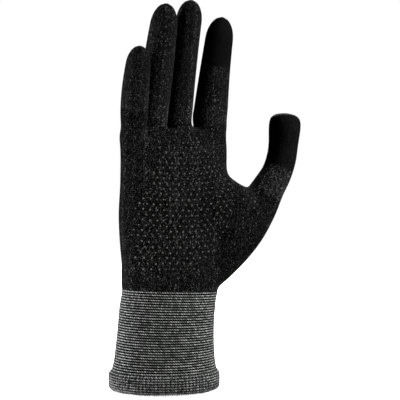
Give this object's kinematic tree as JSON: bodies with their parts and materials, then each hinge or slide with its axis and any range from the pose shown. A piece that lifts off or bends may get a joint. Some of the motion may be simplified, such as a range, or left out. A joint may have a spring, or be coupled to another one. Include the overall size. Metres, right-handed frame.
{
  "type": "knitted touchscreen glove",
  "caption": "Right-hand seamless knitted glove with smooth touchscreen tips on thumb and index finger, a dotted grip palm and a long ribbed striped cuff.",
  "frame": {"origin": "centre of the cuff opening, in the plane of its lower edge, as held by the wrist that it is pulled on to", "axes": "+Z along the fingers, -Y out of the palm, +X towards the thumb side"},
  "size_m": [0.129, 0.0522, 0.2558],
  "materials": {
    "body_yarn": "fine melange jersey knit, near-black",
    "touch_yarn": "smooth plain knit with conductive yarn, black",
    "cuff_yarn": "knit courses alternating black and grey",
    "hem_yarn": "double-layer knit, dark melange",
    "edge_yarn": "overlock thread in dark and light grey"
  },
  "bodies": {
    "hand": {"hand_body": "body_yarn", "thumb_stall_root": "body_yarn", "cuff_sleeve": "cuff_yarn", "cuff_hem": "hem_yarn", "cuff_edge_overlock": "edge_yarn"},
    "little_base": {"little_stall_base": "body_yarn"},
    "little_middle": {"little_stall_middle": "body_yarn"},
    "little_tip": {"little_stall_tip": "body_yarn"},
    "ring_base": {"ring_stall_base": "body_yarn"},
    "ring_middle": {"ring_stall_middle": "body_yarn"},
    "ring_tip": {"ring_stall_tip": "body_yarn"},
    "middle_base": {"middle_stall_base": "body_yarn"},
    "middle_middle": {"middle_stall_middle": "body_yarn"},
    "middle_tip": {"middle_stall_tip": "body_yarn"},
    "index_base": {"index_stall_base": "body_yarn"},
    "index_middle": {"index_stall_middle": "body_yarn", "index_touch_band": "touch_yarn"},
    "index_tip": {"index_touch_tip": "touch_yarn"},
    "thumb_base": {"thumb_stall": "body_yarn"},
    "thumb_tip": {"thumb_touch_tip": "touch_yarn"}
  },
  "joints": [
    {"name": "little_root_bend", "type": "hinge", "parent": "hand", "child": "little_base", "pos_m": [-0.02382, -0.01193, 0.17366], "axis": [0.9993, 0, 0.0384], "range_deg": [0, 75]},
    {"name": "little_middle_bend", "type": "hinge", "parent": "little_base", "child": "little_middle", "pos_m": [-0.0245, -0.01626, 0.19146], "axis": [0.9993, 0, 0.0384], "range_deg": [0, 85]},
    {"name": "little_end_bend", "type": "hinge", "parent": "little_middle", "child": "little_tip", "pos_m": [-0.02503, -0.02092, 0.20517], "axis": [0.9993, 0, 0.0384], "range_deg": [0, 57]},
    {"name": "ring_root_bend", "type": "hinge", "parent": "hand", "child": "ring_base", "pos_m": [-0.00633, -0.0076, 0.18017], "axis": [1, 0, -0.0087], "range_deg": [0, 75]},
    {"name": "ring_middle_bend", "type": "hinge", "parent": "ring_base", "child": "ring_middle", "pos_m": [-0.0061, -0.01163, 0.20627], "axis": [1, 0, -0.0087], "range_deg": [0, 85]},
    {"name": "ring_end_bend", "type": "hinge", "parent": "ring_middle", "child": "ring_tip", "pos_m": [-0.00593, -0.01625, 0.22631], "axis": [1, 0, -0.0087], "range_deg": [0, 57]},
    {"name": "middle_root_bend", "type": "hinge", "parent": "hand", "child": "middle_base", "pos_m": [0.01138, -0.00579, 0.18247], "axis": [0.999, 0, -0.0454], "range_deg": [0, 75]},
    {"name": "middle_middle_bend", "type": "hinge", "parent": "middle_base", "child": "middle_middle", "pos_m": [0.01263, -0.00863, 0.20982], "axis": [0.999, 0, -0.0454], "range_deg": [0, 85]},
    {"name": "middle_end_bend", "type": "hinge", "parent": "middle_middle", "child": "middle_tip", "pos_m": [0.01359, -0.01214, 0.23115], "axis": [0.999, 0, -0.0454], "range_deg": [0, 57]},
    {"name": "index_root_bend", "type": "hinge", "parent": "hand", "child": "index_base", "pos_m": [0.03383, -0.00754, 0.18157], "axis": [0.9973, 0, -0.0732], "range_deg": [0, 75]},
    {"name": "index_middle_bend", "type": "hinge", "parent": "index_base", "child": "index_middle", "pos_m": [0.03541, -0.00914, 0.20308], "axis": [0.9973, 0, -0.0732], "range_deg": [0, 85]},
    {"name": "index_end_bend", "type": "hinge", "parent": "index_middle", "child": "index_tip", "pos_m": [0.03684, -0.01147, 0.22257], "axis": [0.9973, 0, -0.0732], "range_deg": [0, 57]},
    {"name": "thumb_root_bend", "type": "hinge", "parent": "hand", "child": "thumb_base", "pos_m": [0.06768, -0.01957, 0.13584], "axis": [0.6969, -0.5539, -0.4555], "range_deg": [0, 35]},
    {"name": "thumb_tip_bend", "type": "hinge", "parent": "thumb_base", "child": "thumb_tip", "pos_m": [0.07678, -0.0187, 0.1528], "axis": [0.764, -0.6073, -0.2182], "range_deg": [0, 60]}
  ],
  "couplings": [
    {"joint": "little_end_bend", "follows": "little_middle_bend", "ratio": 0.67},
    {"joint": "ring_end_bend", "follows": "ring_middle_bend", "ratio": 0.67},
    {"joint": "middle_end_bend", "follows": "middle_middle_bend", "ratio": 0.67},
    {"joint": "index_end_bend", "follows": "index_middle_bend", "ratio": 0.67}
  ]
}
